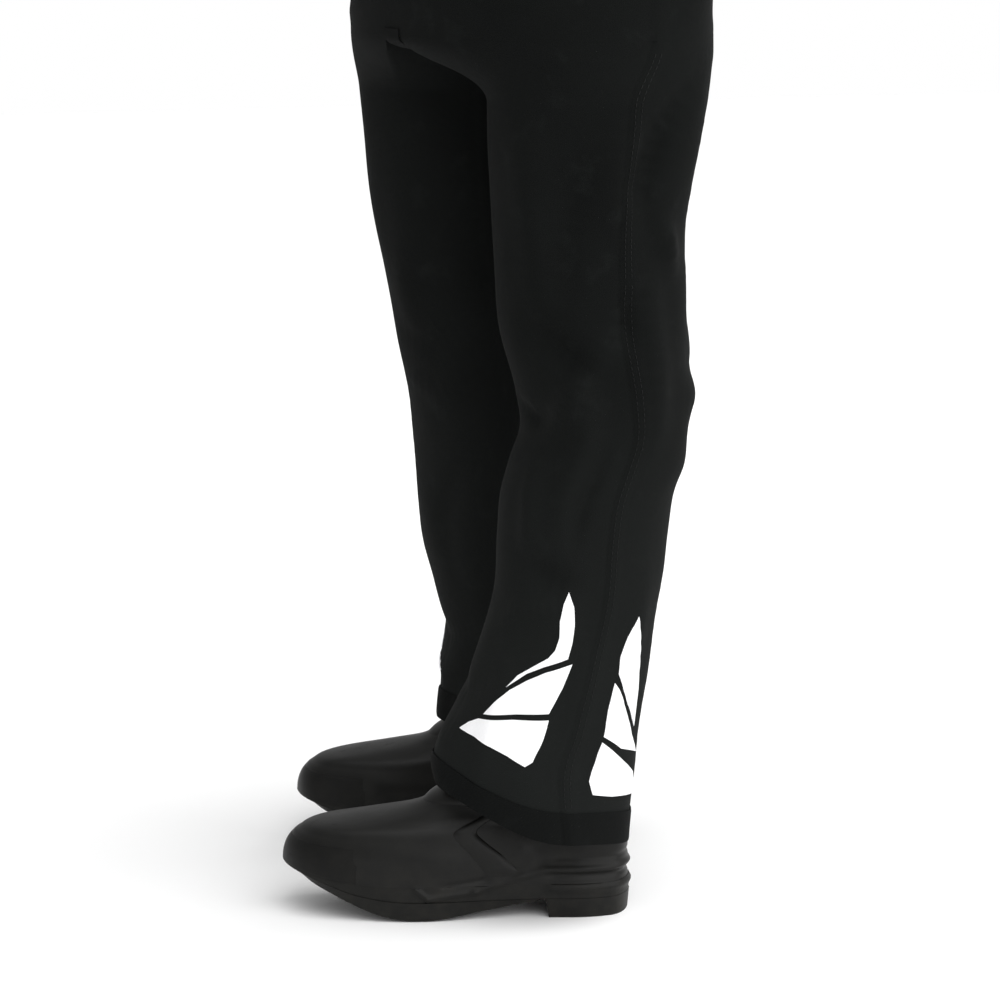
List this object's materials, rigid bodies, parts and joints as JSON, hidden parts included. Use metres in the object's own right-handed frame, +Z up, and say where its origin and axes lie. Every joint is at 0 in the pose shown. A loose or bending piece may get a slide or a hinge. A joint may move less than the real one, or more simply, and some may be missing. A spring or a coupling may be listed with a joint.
{
  "type": "bunker pants",
  "caption": "Loose black firefighter's trousers with jagged reflective cuff trim, standing over black rubber pull-on boots; the legs bend at hip and knee.",
  "frame": {"origin": "on the ground, under the middle of the bounding box", "axes": "+Z up, the toes point to -Y, the wearer's left side is +X"},
  "size_m": [0.428, 0.414, 1.05],
  "materials": {
    "outer_shell_cloth": "matt black twill outer shell cloth",
    "reinforcement_cloth": "matt black heavy reinforcement cloth",
    "quilted_liner": "matt quilted liner",
    "webbing": "matt black woven webbing and tape",
    "reflective_trim": "silver-white retroreflective trim",
    "boot_rubber": "semi-matt black rubber",
    "sole_rubber": "matt black rubber",
    "insole_felt": "matt grey felt",
    "nickel": "satin nickel plate",
    "black_plastic": "matt black moulded plastic"
  },
  "bodies": {
    "seat": {"left_seat_front_panel": "outer_shell_cloth", "left_seat_rear_panel": "outer_shell_cloth", "right_seat_front_panel": "outer_shell_cloth", "right_seat_rear_panel": "outer_shell_cloth", "left_waistband": "webbing", "right_waistband": "webbing", "seat_liner": "quilted_liner", "crotch_gusset": "reinforcement_cloth", "zip_tape": "webbing", "snap_stud": "nickel", "left_front_outer_suspender_button": "nickel", "left_front_inner_suspender_button": "nickel", "left_back_suspender_button": "nickel", "right_front_outer_suspender_button": "nickel", "right_front_inner_suspender_button": "nickel", "right_back_suspender_button": "nickel", "left_takeup_strap": "webbing", "right_takeup_strap": "webbing", "hanger_loop": "webbing", "left_hip_panel": "outer_shell_cloth", "right_hip_panel": "outer_shell_cloth"},
    "waist_tab": {"waist_tab": "outer_shell_cloth", "snap_cap": "nickel"},
    "zip_slider": {"zip_slider": "nickel"},
    "zip_pull": {"zip_pull": "nickel"},
    "left_buckle": {"left_takeup_buckle": "black_plastic"},
    "left_thigh": {"left_thigh_front_panel": "outer_shell_cloth", "left_thigh_rear_panel": "outer_shell_cloth", "left_thigh_liner": "quilted_liner", "left_knee_panel": "reinforcement_cloth"},
    "left_shin": {"left_shin_front_panel": "outer_shell_cloth", "left_shin_rear_panel": "outer_shell_cloth", "left_shin_liner": "quilted_liner", "left_cuff_band": "reinforcement_cloth", "left_front_trim": "reflective_trim", "left_rear_trim": "reflective_trim", "left_boot_outsole": "sole_rubber", "left_boot_midsole": "sole_rubber", "left_boot_upper": "boot_rubber", "left_boot_toe_bumper": "sole_rubber", "left_boot_instep_strap": "boot_rubber", "left_boot_insole": "insole_felt"},
    "right_buckle": {"right_takeup_buckle": "black_plastic"},
    "right_thigh": {"right_thigh_front_panel": "outer_shell_cloth", "right_thigh_rear_panel": "outer_shell_cloth", "right_thigh_liner": "quilted_liner", "right_knee_panel": "reinforcement_cloth"},
    "right_shin": {"right_shin_front_panel": "outer_shell_cloth", "right_shin_rear_panel": "outer_shell_cloth", "right_shin_liner": "quilted_liner", "right_cuff_band": "reinforcement_cloth", "right_front_trim": "reflective_trim", "right_rear_trim": "reflective_trim", "right_boot_outsole": "sole_rubber", "right_boot_midsole": "sole_rubber", "right_boot_upper": "boot_rubber", "right_boot_toe_bumper": "sole_rubber", "right_boot_instep_strap": "boot_rubber", "right_boot_insole": "insole_felt"}
  },
  "joints": [
    {"name": "left_hip", "type": "hinge", "parent": "seat", "child": "left_thigh", "pos_m": [0.11671, 0.08032, 0.85], "axis": [-1, 0, 0], "range_deg": [-15, 50], "deforming": ["left_hip_panel"]},
    {"name": "left_knee", "type": "hinge", "parent": "left_thigh", "child": "left_shin", "pos_m": [0.12071, 0.10032, 0.48], "axis": [1, 0, 0], "range_deg": [0, 75], "deforming": ["left_knee_panel"]},
    {"name": "right_hip", "type": "hinge", "parent": "seat", "child": "right_thigh", "pos_m": [-0.10329, 0.01432, 0.85], "axis": [-1, 0, 0], "range_deg": [-15, 50], "deforming": ["right_hip_panel"]},
    {"name": "right_knee", "type": "hinge", "parent": "right_thigh", "child": "right_shin", "pos_m": [-0.1073, 0.06332, 0.48], "axis": [1, 0, 0], "range_deg": [0, 75], "deforming": ["right_knee_panel"]},
    {"name": "waist_tab_hinge", "type": "hinge", "parent": "seat", "child": "waist_tab", "pos_m": [0.10336, -0.04789, 1.027], "axis": [-0.0382, 0.1333, 0.9903], "range_deg": [0, 150]},
    {"name": "zip_slide", "type": "slide", "parent": "seat", "child": "zip_slider", "axis": [-0.0382, 0.1333, 0.9903], "range_m": [-0.125, 0]},
    {"name": "zip_pull_hinge", "type": "hinge", "parent": "zip_slider", "child": "zip_pull", "pos_m": [0.04347, -0.07589, 0.99841], "axis": [-0.9613, -0.2756, 0], "range_deg": [0, 150]},
    {"name": "left_buckle_tilt", "type": "hinge", "parent": "seat", "child": "left_buckle", "pos_m": [0.17617, 0.11174, 1.02963], "axis": [-0.1531, -0.0389, 0.9874], "range_deg": [0, 40]},
    {"name": "right_buckle_tilt", "type": "hinge", "parent": "seat", "child": "right_buckle", "pos_m": [-0.1685, 0.0129, 1.02963], "axis": [-0.1504, -0.0482, -0.9874], "range_deg": [0, 40]}
  ]
}
